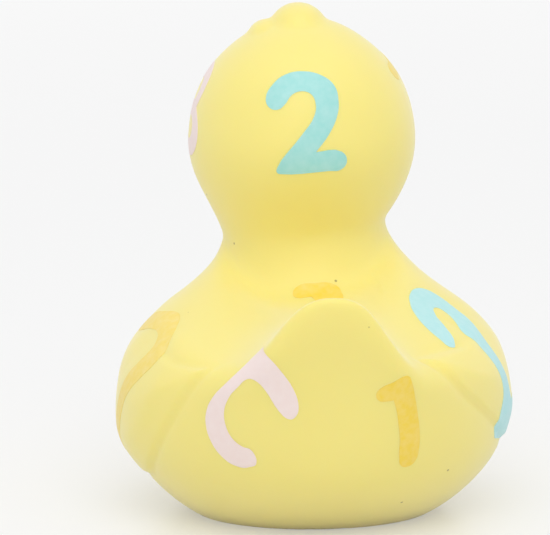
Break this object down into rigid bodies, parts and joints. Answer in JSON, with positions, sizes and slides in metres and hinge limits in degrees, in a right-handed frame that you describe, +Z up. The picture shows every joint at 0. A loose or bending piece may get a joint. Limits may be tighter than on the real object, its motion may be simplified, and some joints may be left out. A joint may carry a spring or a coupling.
{
  "type": "rubber duck",
  "caption": "Hollow moulded bath duck with round head, upturned tail, raised wings, crown tuft, bill and a flat base with a squeaker.",
  "frame": {"origin": "on the floor, under the middle of the duck's overall length", "axes": "+Z up, the duck faces -Y, its left side is +X"},
  "size_m": [0.0768, 0.0912, 0.0947],
  "materials": {
    "vinyl": "matt",
    "squeaker_plastic": "satin"
  },
  "bodies": {
    "root": {"duck_body": "vinyl", "squeaker": "squeaker_plastic"}
  },
  "joints": []
}
